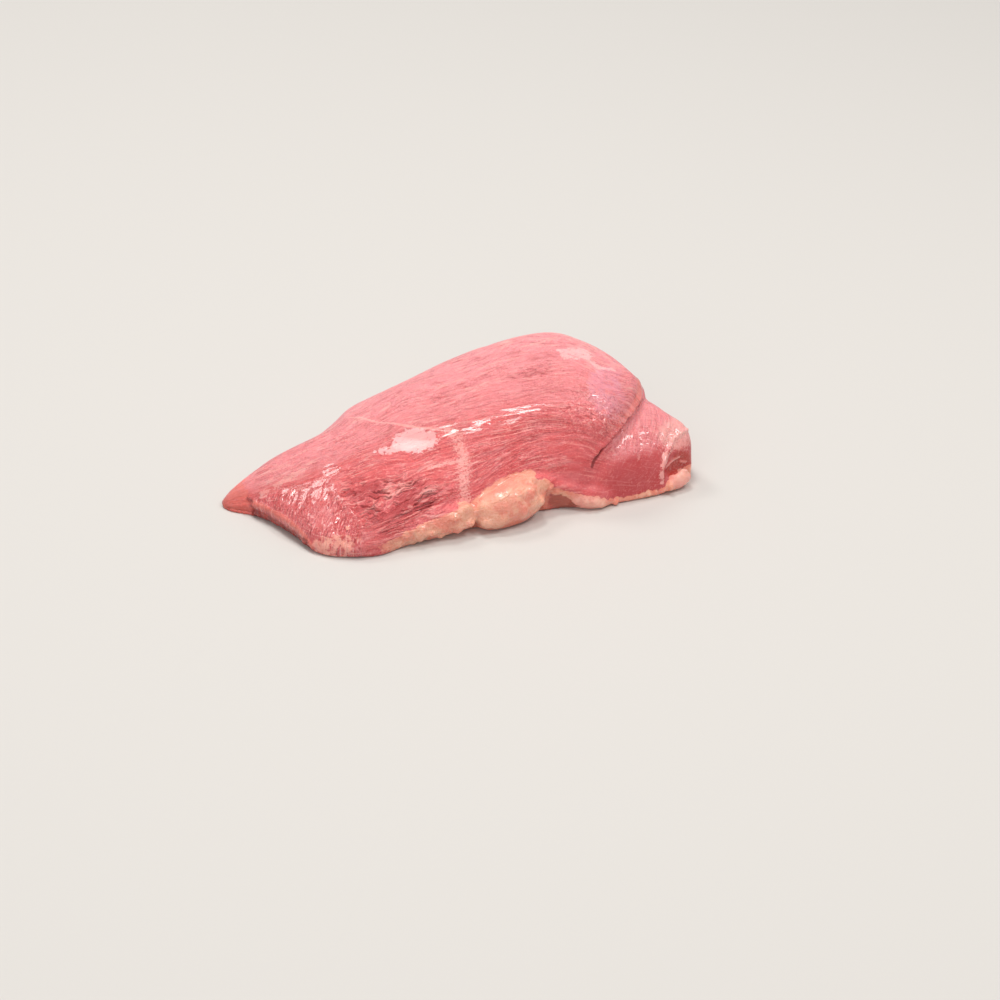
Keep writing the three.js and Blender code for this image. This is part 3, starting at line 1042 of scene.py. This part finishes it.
# %% Build the relief tree
def relief_tree():
    tree, g, given, result = new_tree(
        "meat_relief",
        "GeometryNodeTree",
        [("Skin", "Geometry", None), *((name, "Float", value) for name, value in RELIEF.items()),
         ("Material", "Material", None)],
        [("Skin", "Geometry")],
    )

    def mask(name, kind="FLOAT"):
        return g.node("GeometryNodeInputNamedAttribute", {"Name": name}, data_type=kind).outputs[0]

    in_mm = g.stretch(g.node("GeometryNodeInputPosition").outputs[0], (1 / MM,) * 3, PATTERN_SHIFT)
    grain = mask("grain", "FLOAT_VECTOR")
    grain_aside = mask("grain_aside", "FLOAT_VECTOR")
    lean = g.rest(mask("fat"))
    busy = g.product(g.rest(g.product(mask("smooth"), 0.85)), g.rest(mask("pool")))
    along_grain = g.wavy(g.stretch(grain, (1, 1, 1), PATTERN_SHIFT), *WAVER)
    drawn = g.stretch(along_grain, (SHORTEN, 1, 1))
    drawn_aside = g.stretch(grain_aside, (SHORTEN, 1, 1), PATTERN_SHIFT)

    straight_fibres = fibre_relief(g, given, drawn)
    fibres = g.blend(mask("aside"), straight_fibres, fibre_relief(g, given, drawn_aside))
    patches = g.ramp(g.noise(in_mm, 0.11, 2.0), 0.38, 0.6, 0.3, 1.0)
    strength = g.total(
        0.45,
        g.product(mask("front"), 0.35),
        g.product(mask("left_corner"), 1.7),
        g.product(mask("shoulder"), 0.6),
    )
    grain_height = g.product(fibres, strength, patches, lean, busy)
    crumbs, crack, crumble_height, crack_height = crack_relief(
        g, given, along_grain, in_mm, mask("cracks"), lean
    )
    calm = g.product(g.rest(mask("aside")), g.rest(g.product(mask("shoulder"), 0.8)))
    sheet_height = g.product(sheet_relief(g, given, grain), lean, busy, calm)

    fat_lumps = g.swing(g.noise(in_mm, 0.45, 2.0, 0.6), given["Fat Height"])
    fat_height = g.product(fat_lumps, mask("fat"))
    swell = g.swing(g.noise(g.stretch(along_grain, (0.3, 1, 1)), 0.12, 1.0), given["Swell Height"])
    swell_height = g.product(swell, 1.6, lean, busy)
    torn = g.total(
        mask("under_lip"),
        g.product(mask("end_ridge"), 0.8),
        g.product(mask("cut_end"), 0.2),
        g.product(mask("lip"), 0.4),
    )
    ragged = g.swing(g.noise(in_mm, 0.6, 3.0, 0.6), given["Ragged Height"])
    pebbles = g.swing(g.noise(in_mm, 0.5, 2.0, 0.5), given["Pebble Height"])
    height = g.total(
        grain_height,
        crumble_height,
        crack_height,
        fat_height,
        swell_height,
        sheet_height,
        g.product(ragged, torn),
        g.product(pebbles, mask("pebbled"), busy),
    )
    height = g.product(height, mask("rests"), MM)
    normal = g.node("GeometryNodeInputNormal").outputs[0]
    push = g.node("ShaderNodeVectorMath", {0: normal, "Scale": height}, operation="SCALE").outputs[0]
    kept = g.node("GeometryNodeSetPosition", {"Geometry": given["Skin"], "Offset": push})
    for name, value in (("crack", crack), ("crumbs", crumbs)):
        inputs = {"Geometry": kept.outputs[0], "Name": name}
        kept = g.node("GeometryNodeStoreNamedAttribute", inputs, data_type="FLOAT", domain="POINT")
        g.fill(kept.inputs["Value"], value)
    whole = g.node("GeometryNodeRealizeInstances", {"Geometry": kept.outputs[0]}).outputs[0]
    faced = g.node("GeometryNodeSetMaterial", {"Geometry": whole, "Material": given["Material"]})
    g.fill(result["Skin"], faced.outputs[0])
    return tree


relief = relief_tree()
print("relief tree of", len(relief.nodes), "nodes")


# %% [markdown]
# ## Shared shader groups
# Two effects serve lean, fat and thin skins alike: fibre streaks, and the ragged edge of a
# patch. They could be copied to each place that needs them, but as node groups they are built
# once and placed with other values. Each group puts out masks only, and no shader.

# %% Build the shared groups
def fibre_streak_group():
    """Streaks along the grain: broad bundles, fine fibres, and thin dark and pale dashes."""
    group, g, given, result = new_tree(
        "fibre_streaks",
        "ShaderNodeTree",
        [("Grain", "Vector", None), ("Width", "Float", 1.0), ("Shorten", "Float", SHORTEN)],
        [("Bundles", "Float"), ("Fibres", "Float"), ("Dark Dashes", "Float"), ("Pale Dashes", "Float")],
    )
    short = g.node("ShaderNodeCombineXYZ", {0: given["Shorten"], 1: 1.0, 2: 1.0}).outputs[0]
    drawn = g.vector_math("MULTIPLY", g.wavy(given["Grain"], *WAVER), short)
    scale = g.math("DIVIDE", 1.0, given["Width"])
    g.fill(result["Bundles"], g.ramp(g.noise(drawn, g.product(scale, 0.3), 2.0), 0.34, 0.66))
    g.fill(result["Fibres"], g.ramp(g.noise(drawn, scale, 3.0, 0.6, 0.15), 0.34, 0.66))
    shifted = g.stretch(drawn, (1.3, 1, 1), (9, 5, 2))
    dashes = g.noise(shifted, g.product(scale, 1.15), 2.0, 0.6, 0.2)
    g.fill(result["Dark Dashes"], g.ramp(dashes, 0.42, 0.35))
    g.fill(result["Pale Dashes"], g.ramp(dashes, 0.59, 0.67))
    return group


def ragged_patch_group():
    """Turns a soft mask into a patch with a ragged edge."""
    group, g, given, result = new_tree(
        "ragged_patch",
        "ShaderNodeTree",
        [("Mask", "Float", 0.0), ("Place", "Vector", None), ("Tear Size", "Float", 1.5),
         ("Raggedness", "Float", 1.0), ("Softness", "Float", 0.2)],
        [("Patch", "Float")],
    )
    scale = g.math("DIVIDE", 1.0, given["Tear Size"])
    tear = g.swing(g.noise(given["Place"], scale, 4.0, 0.65), given["Raggedness"])
    level = g.total(given["Mask"], tear)
    low = g.math("SUBTRACT", 0.5, given["Softness"])
    high = g.math("ADD", 0.5, given["Softness"])
    g.fill(result["Patch"], g.product(g.ramp(level, low, high), g.ramp(given["Mask"], 0.0, 0.15)))
    return group


streak_group = fibre_streak_group()
patch_group = ragged_patch_group()
print("shared groups:", streak_group.name, "and", patch_group.name)


# %% [markdown]
# ## The colours of raw pork
# Fresh pork is a cool rose pink, with deeper red between its fibres. Fat is cream with a blush of
# orange, and thin skins are nearly white. Several of these colours also paint sheen, highlights and
# shade, as their names say. The colours are written as on the web and turned into the linear
# values that a shader takes.

# %% Name the colours
def paint(code):
    """A colour written as on the web, as the linear colour that a shader takes."""
    parts = [int(code[i:i + 2], 16) / 255 for i in (1, 3, 5)]
    linear = [c / 12.92 if c <= 0.04045 else ((c + 0.055) / 1.055) ** 2.4 for c in parts]
    return (*linear, 1)


LEAN_ROSE = paint("#e6696a")
LEAN_PALE_AND_PAINTED_LIGHT = paint("#f99fa5")
PAINTED_SHEEN_PINK = paint("#fbb0b8")
LEAN_DEEP_AND_SHADE = paint("#b43a3f")
LEAN_BRIGHT = paint("#ee6063")
SINEW_WHITE_AND_HIGHLIGHT = paint("#f8c6c6")
SKIN_PALE_AND_HIGHLIGHT = paint("#ffbdb6")
SILVER_VIOLET = paint("#e8a0b6")
FAT_CREAM = paint("#ffbea2")
FAT_BLUSH = paint("#f79a86")
FAT_ORANGE_AND_SHADE = paint("#ea7f66")
# the membrane's grey and the raw cut's wine are warmed a little, which paints warm light thrown up from
# below
MEMBRANE_GREY = paint("#b86350")
TIP_CORAL = paint("#f57a66")
RIM_ORANGE = paint("#f58a78")
CUT_WINE_AND_SHADE = paint("#bb4035")
DEEP_WINE_AND_SHADE = paint("#7d2428")
print("the lean's rose is", [round(v, 3) for v in LEAN_ROSE[:3]])


# %% [markdown]
# ## Laying colours over each other
# A painter lays thin coats over each other, and this material is mixed the same way: each coat
# has a colour and a mask. The small kit for node trees is widened with such a coat, with the
# masks kept on the mesh, and with the two shared groups. Noises that several coats read are
# made once.

class Painter(Graph):
    def __init__(self, tree):
        super().__init__(tree)
        at = self.node("ShaderNodeTexCoord").outputs["Object"]
        self.in_mm = self.stretch(at, (1 / MM,) * 3)
        self.flecks = self.noise(self.in_mm, 0.65, 3.0, 0.6)
        self.grit = self.noise(self.in_mm, 1.3, 3.0, 0.65)
        straight = self.streaks("grain", 0.8, 0.2)
        turned = self.streaks("grain_aside", 0.8, 0.25)
        self.bundles, self.fibres, self.dark, self.pale = (
            self.blend(self.mask("aside"), main, aside) for main, aside in zip(straight, turned)
        )
        self.clear = self.product(
            self.ramp(self.noise(self.in_mm, 0.12, 2.0), 0.35, 0.6, 0.5, 1.0),
            self.rest(self.product(self.mask("smooth"), 0.5)),
            self.rest(self.product(self.mask("pebbled"), 0.6)),
        )

    def mask(self, name):
        return self.node("ShaderNodeAttribute", attribute_name=name).outputs["Fac"]

    def grain(self, name):
        return self.node("ShaderNodeAttribute", attribute_name=name).outputs["Vector"]

    def torn_patch(self, name, tear_size, raggedness, softness):
        inputs = {"Mask": self.mask(name), "Place": self.in_mm, "Tear Size": tear_size}
        inputs |= {"Raggedness": raggedness, "Softness": softness}
        return self.node("ShaderNodeGroup", inputs, node_tree=patch_group).outputs["Patch"]

    def streaks(self, attribute, width, shorten):
        inputs = {"Grain": self.grain(attribute), "Width": width, "Shorten": shorten}
        return self.node("ShaderNodeGroup", inputs, node_tree=streak_group).outputs

    def lay(self, under, over, amount, *more):
        """One colour over another, by one or more masks multiplied."""
        inputs = {0: self.product(amount, *more), 6: under, 7: over}
        return self.node("ShaderNodeMix", inputs, data_type="RGBA").outputs[2]


print("coats of colour ready")


# %% [markdown]
# ## The lean's ground colour
# The ground of the lean changes slowly: redder in blotches. Painted sheen makes the top paler
# and the back paler and cooler. Painted light makes the top of the folded end paler, and painted
# shade makes the smooth places of the front and of the folded end's front deeper. One flat pink
# would look like clay, however good its relief.

# %% Lay the ground of the lean
def ground_of_lean(g):
    blotches = g.ramp(g.noise(g.in_mm, 0.08, 3.0, 0.6), 0.35, 0.65)
    front_or_fold = g.math("MAXIMUM", g.mask("front"), g.mask("fold"))
    painted_shade_depth = g.total(0.3, g.product(g.mask("fold"), 0.4))
    color = g.lay(LEAN_ROSE, LEAN_PALE_AND_PAINTED_LIGHT, g.bundles, 0.4)
    color = g.lay(color, LEAN_BRIGHT, blotches, 0.45)
    # painted sheen: the top paler, and the back paler and cooler
    color = g.lay(color, LEAN_PALE_AND_PAINTED_LIGHT, g.mask("top"), 0.65)
    color = g.lay(color, PAINTED_SHEEN_PINK, g.mask("back"), 0.6)
    color = g.lay(color, LEAN_DEEP_AND_SHADE, g.mask("left_corner"), 0.25)
    # painted light on the top of the folded end, and painted shade on the smooth fronts
    color = g.lay(color, LEAN_PALE_AND_PAINTED_LIGHT, g.mask("fold"), g.rest(g.mask("smooth")), 0.65)
    color = g.lay(color, LEAN_DEEP_AND_SHADE, painted_shade_depth, g.mask("smooth"), front_or_fold)
    color = g.lay(color, LEAN_DEEP_AND_SHADE, g.product(g.mask("cracks"), g.mask("front")), 0.25)
    # in pebbled places: dark specks of their own, and pale flecks that are painted glints
    color = g.lay(color, LEAN_DEEP_AND_SHADE, g.ramp(g.flecks, 0.48, 0.36), g.mask("pebbled"), 0.6)
    return g.lay(color, SKIN_PALE_AND_HIGHLIGHT, g.ramp(g.flecks, 0.53, 0.66), g.mask("pebbled"), 0.5)


print("the lean's ground is ready")


# %% [markdown]
# ## The lean's fibres
# Fibres could be drawn as thousands of thin curves, but lines of noise look the same from here
# and weigh nothing. Dark and pale ones run along the grain, some short and some long, and most
# are stronger on the front slope. The edges of the sheets get a painted highlight, and their feet
# painted shade. Crumbs between the cracks get a painted highlight on top and painted shade below.

# %% Draw the fibres
def fibres_on(g, color):
    front = g.mask("front")
    cracked = g.mask("cracks")

    def more_in_front(amount, extra):
        return g.total(amount, g.product(front, extra))

    _, _, long_dark, long_pale = g.streaks("grain", 1.1, 0.06)
    color = g.lay(color, LEAN_DEEP_AND_SHADE, g.rest(g.fibres), more_in_front(0.24, 0.18), g.clear)
    color = g.lay(color, LEAN_DEEP_AND_SHADE, g.dark, more_in_front(0.16, 0.34), g.clear)
    color = g.lay(color, SKIN_PALE_AND_HIGHLIGHT, g.pale, more_in_front(0.4, 0.15), g.clear)
    color = g.lay(color, LEAN_DEEP_AND_SHADE, g.ramp(g.grit, 0.5, 0.36), more_in_front(0.22, 0.13), g.clear)
    color = g.lay(color, SKIN_PALE_AND_HIGHLIGHT, g.ramp(g.grit, 0.54, 0.68), 0.4, g.clear)
    color = g.lay(color, LEAN_DEEP_AND_SHADE, long_dark, more_in_front(0.3, 0.2), g.clear)
    color = g.lay(color, SKIN_PALE_AND_HIGHLIGHT, long_pale, more_in_front(0.4, 0.1), g.clear)

    _, within = sheets(g, g.grain("grain"))
    sheet_foot_shade = g.ramp(g.math("ABSOLUTE", g.math("SUBTRACT", within, 0.64)), 0.12, 0.02)
    in_patches = g.ramp(g.noise(g.in_mm, 0.2, 2.0), 0.4, 0.6, 0.2, 1.0)
    seen = g.product(g.clear, g.rest(g.mask("aside")), in_patches)
    # painted shade at the foot of each sheet, and a painted highlight on its edge
    color = g.lay(color, LEAN_DEEP_AND_SHADE, sheet_foot_shade, seen, 0.35)
    color = g.lay(color, SKIN_PALE_AND_HIGHLIGHT, g.ramp(within, 0.8, 0.97), seen, 0.5)

    coarse = g.math("MAXIMUM", g.mask("left_corner"), g.product(cracked, 0.7))
    color = g.lay(color, DEEP_WINE_AND_SHADE, g.dark, coarse, 0.35)
    color = g.lay(color, SINEW_WHITE_AND_HIGHLIGHT, g.pale, g.mask("left_corner"), 0.35)
    # painted shade on the low crumbs, and a painted highlight on the high ones
    color = g.lay(color, LEAN_DEEP_AND_SHADE, g.ramp(g.mask("crumbs"), 0.52, 0.4), cracked, 0.8)
    return g.lay(color, SKIN_PALE_AND_HIGHLIGHT, g.ramp(g.mask("crumbs"), 0.54, 0.66), cracked, 0.5)


print("the lean's fibres are ready")


# %% [markdown]
# ## Seams, skins and raw edges
# Thin skins and seams tear, so none of them has a clean outline. Each is a ragged patch of its
# own colour over the lean; at the cut end and under the tail's lip, part of that colour is painted
# highlight and painted shade. The table below says how large its tears are, how ragged and how
# soft its edge is, and how strongly it covers.

# %% Lay the torn patches
TORN_PATCHES = [  # mask, colour, size of a tear in mm, raggedness, softness, strength
    ("tip", TIP_CORAL, 2.4, 1.4, 0.45, 0.5),
    ("silver", SILVER_VIOLET, 3.0, 1.8, 0.5, 0.4),
    ("seam_edge", SKIN_PALE_AND_HIGHLIGHT, 1.5, 0.8, 0.3, 0.6),
    ("seam_band", SKIN_PALE_AND_HIGHLIGHT, 0.9, 1.6, 0.3, 0.65),
    ("sinew", SINEW_WHITE_AND_HIGHLIGHT, 1.6, 1.4, 0.3, 0.7),
    ("rim", RIM_ORANGE, 2.0, 0.8, 0.4, 0.4),
    ("lip", RIM_ORANGE, 1.2, 0.8, 0.3, 0.5),
    # the cut end: partly the deeper red of a raw cut, partly painted shade in its scoop
    ("cut_end", CUT_WINE_AND_SHADE, 3.0, 0.6, 0.4, 0.85),
    # end_top and end_ridge: partly pale tissue, partly painted highlight where the end catches the
    # light
    ("end_top", SKIN_PALE_AND_HIGHLIGHT, 1.6, 1.0, 0.5, 0.6),
    ("end_ridge", SKIN_PALE_AND_HIGHLIGHT, 2.4, 2.2, 0.2, 0.7),
]


def patches_on(g, color):
    for name, tint, tear_size, raggedness, softness, strength in TORN_PATCHES:
        color = g.lay(color, tint, g.torn_patch(name, tear_size, raggedness, softness), strength)
    rough_cut = g.math("MAXIMUM", g.mask("cut_end"), g.ramp(g.mask("pebbled"), 0.1, 0.6))
    # the small folds of the cut end: partly pale membrane, partly painted highlight
    color = g.lay(color, SKIN_PALE_AND_HIGHLIGHT, g.mask("end_fold"), 0.5)
    color = g.lay(color, LEAN_DEEP_AND_SHADE, g.ramp(g.grit, 0.48, 0.36), rough_cut, 0.3)
    # pale grit on the cut end and the pebbled places: painted glints
    color = g.lay(color, SINEW_WHITE_AND_HIGHLIGHT, g.ramp(g.grit, 0.56, 0.66), rough_cut, 0.25)
    # under the tail's lip: partly the raw flesh's own deeper red, partly painted shade under the
    # overhang
    color = g.lay(color, CUT_WINE_AND_SHADE, g.torn_patch("under_lip", 1.5, 0.6, 0.3), 0.85)
    color = g.lay(color, DEEP_WINE_AND_SHADE, g.ramp(g.flecks, 0.6, 0.4), g.mask("under_lip"), 0.7)
    # painted shade under the step over the tip
    color = g.lay(color, DEEP_WINE_AND_SHADE, g.torn_patch("tip_step", 0.9, 1.2, 0.4), 0.5)
    return g.lay(color, SKIN_PALE_AND_HIGHLIGHT, g.torn_patch("cream_spots", 1.4, 1.6, 0.15), 0.5)


print("torn patches:", len(TORN_PATCHES))


# %% [markdown]
# ## Fat and painted shade
# Fat is mottled cream and blush, with orange specks. It is mixed on its own and then laid over
# the lean as one ragged patch, because the two grow into each other with no clean edge. Last
# come painted shade under the rolls, the grey membrane in the hollow between them, and painted
# shade in the cracks and the crease.

# %% Lay the fat
def fat_on(g, color):
    mottle = g.ramp(g.noise(g.in_mm, 0.14, 3.0, 0.6), 0.4, 0.6)
    speckled = g.ramp(g.noise(g.in_mm, 0.5, 3.0, 0.6), 0.54, 0.66)
    specks = g.product(speckled, g.rest(g.product(mottle, 0.7)))
    fat = g.lay(FAT_BLUSH, FAT_CREAM, mottle)
    fat = g.lay(fat, FAT_ORANGE_AND_SHADE, specks, 0.6)
    fat = g.lay(fat, FAT_ORANGE_AND_SHADE, g.ramp(g.grit, 0.5, 0.36), 0.35)
    fat = g.lay(fat, SKIN_PALE_AND_HIGHLIGHT, g.ramp(g.grit, 0.54, 0.66), 0.4)
    fat = g.lay(fat, FAT_BLUSH, g.rest(g.mask("lumpy")), 0.5)
    fat = g.lay(fat, SKIN_PALE_AND_HIGHLIGHT, g.mask("pink_fat"), 0.55)
    color = g.lay(color, fat, g.torn_patch("fat", 2.2, 1.0, 0.2), 0.92)
    # painted shade under the rolls of fat
    color = g.lay(color, FAT_ORANGE_AND_SHADE, g.mask("under_roll"), 0.8)
    color = g.lay(color, MEMBRANE_GREY, g.mask("hollow"), 0.85)
    # painted shade in the cracks
    color = g.lay(color, DEEP_WINE_AND_SHADE, g.mask("crack"), 0.85)
    color = g.lay(color, DEEP_WINE_AND_SHADE, g.dark, g.mask("cracks"), 0.2)
    # painted shade in the crease
    return g.lay(color, DEEP_WINE_AND_SHADE, g.ramp(g.mask("crease"), 0.6, 1.0), 0.8)


print("the fat is ready")


# %% [markdown]
# ## The film of juice
# A thin film of juice lies on raw meat and breaks up into patches. It could be a second, clear
# mesh, but the shader's coat does the same: it shines where its weight is high and is gone where
# it is nought. Under the coat, wet meat is also less rough. The fibres give the surface a fine
# bump, which the smooth places nearly lose.

# %% Lay the film of juice
BUMP_HEIGHT = 0.3 * MM


def film_on(g, shader, pool):
    films = []
    for attribute in ("grain", "grain_aside"):
        drawn = g.stretch(g.grain(attribute), (0.28, 1, 1))
        films.append(g.noise(drawn, 0.45, 3.0, 0.6))
    film = g.ramp(g.blend(g.mask("aside"), *films), 0.44, 0.5)
    film = g.math("MAXIMUM", film, g.product(g.mask("end_top"), 0.9))
    wet = g.product(g.mask("wet"), g.rest(g.product(g.mask("cracks"), 0.6)))
    drops = g.product(
        g.ramp(wet, 0.25, 0.8),
        film,
        g.rest(g.product(g.mask("smooth"), 0.5)),
        g.rest(g.ramp(g.mask("pool"), 0.1, 0.4)),
    )
    coat = g.math("MAXIMUM", g.product(pool, 0.1), g.product(drops, 0.9))
    g.fill(shader.inputs["Roughness"], g.ramp(wet, 0.0, 1.0, 0.5, 0.25))
    g.fill(shader.inputs["Coat Weight"], coat)

    fine = g.total(g.product(g.fibres, 0.5), g.swing(g.grit, 0.6), g.product(g.dark, -0.5))
    still = g.rest(g.product(g.mask("smooth"), 0.8))
    fine = g.product(fine, still, g.rest(g.product(pool, 0.92)))
    bump = g.node("ShaderNodeBump", {"Height": fine, "Distance": BUMP_HEIGHT, "Strength": 1.0})
    g.fill(shader.inputs["Normal"], bump.outputs[0])


print("the film of juice is ready")


# %% [markdown]
# ## The material of the meat
# One material covers lean and fat, because they grow into each other. Two materials would need a
# hard line between their faces. Meat is slightly see-through, so light scatters a little way
# into it, and red light goes deepest. The torn patch on the shoulder is painted pale last of all,
# as a painted highlight.

# %% Put the material together
COAT = {"Coat Roughness": 0.06, "Coat IOR": 1.4}
FLESH = {
    "IOR": 1.44,
    "Subsurface Weight": 0.25,
    "Subsurface Radius": (1.0, 0.3, 0.2),
    "Subsurface Scale": 1.6 * MM,
}


def meat_material():
    material = bpy.data.materials.new("moist_raw_pork")
    material.use_nodes = True
    shader = material.node_tree.nodes["Principled BSDF"]
    for name, value in (COAT | FLESH).items():
        shader.inputs[name].default_value = value
    g = Painter(material.node_tree)
    color = fat_on(g, patches_on(g, fibres_on(g, ground_of_lean(g))))
    pool = g.torn_patch("pool", 1.3, 1.6, 0.08)
    # painted highlight: the wet pool laid pale over everything
    g.fill(shader.inputs["Base Color"], g.lay(color, SINEW_WHITE_AND_HIGHLIGHT, pool, 0.6))
    film_on(g, shader, pool)
    return material


raw_pork = meat_material()
print("material", raw_pork.name, "has", len(raw_pork.node_tree.nodes), "nodes")

# %% [markdown]
# ## The relief goes on
# Now the tree runs on the skin. The result becomes a plain mesh and the modifier goes, because
# the export and the other tools want real faces. Smooth shading hides the small quads, and the
# loose lumps of fat have done their work.

# %% Give the skin its relief
add_nodes_modifier(meat, relief, {**RELIEF, "Material": raw_pork})
applied(meat)
meat.data.shade_smooth()
bpy.data.objects.remove(fat_lumps)
print("the skin with its relief has", len(meat.data.polygons), "faces")


# %% [markdown]
# ## The underside
# The flat sole is never seen and needs no fine faces. Its many small quads are taken out, and one
# face closes the hole, which leaves the faces for the skin that shows.

# %% Close the sole with one face
SOLE_LEVEL = 0.001 * MM


def close_sole(shape):
    sole = [f for f in shape.faces if all(v.co.z < SOLE_LEVEL for v in f.verts)]
    bmesh.ops.delete(shape, geom=sole, context="FACES")
    bmesh.ops.holes_fill(shape, edges=[e for e in shape.edges if e.is_boundary], sides=0)
    large = [f for f in shape.faces if len(f.verts) > 4]
    bmesh.ops.triangulate(shape, faces=large)


reshape(meat.data, close_sole)
meat.data.calc_loop_triangles()
print("the finished skin has", len(meat.data.loop_triangles), "triangles")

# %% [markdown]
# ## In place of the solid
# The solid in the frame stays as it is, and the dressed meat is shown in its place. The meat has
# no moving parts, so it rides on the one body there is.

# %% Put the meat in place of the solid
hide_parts(NODE)
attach(meat, "root")
print(meat.name, "takes the place of", NODE)
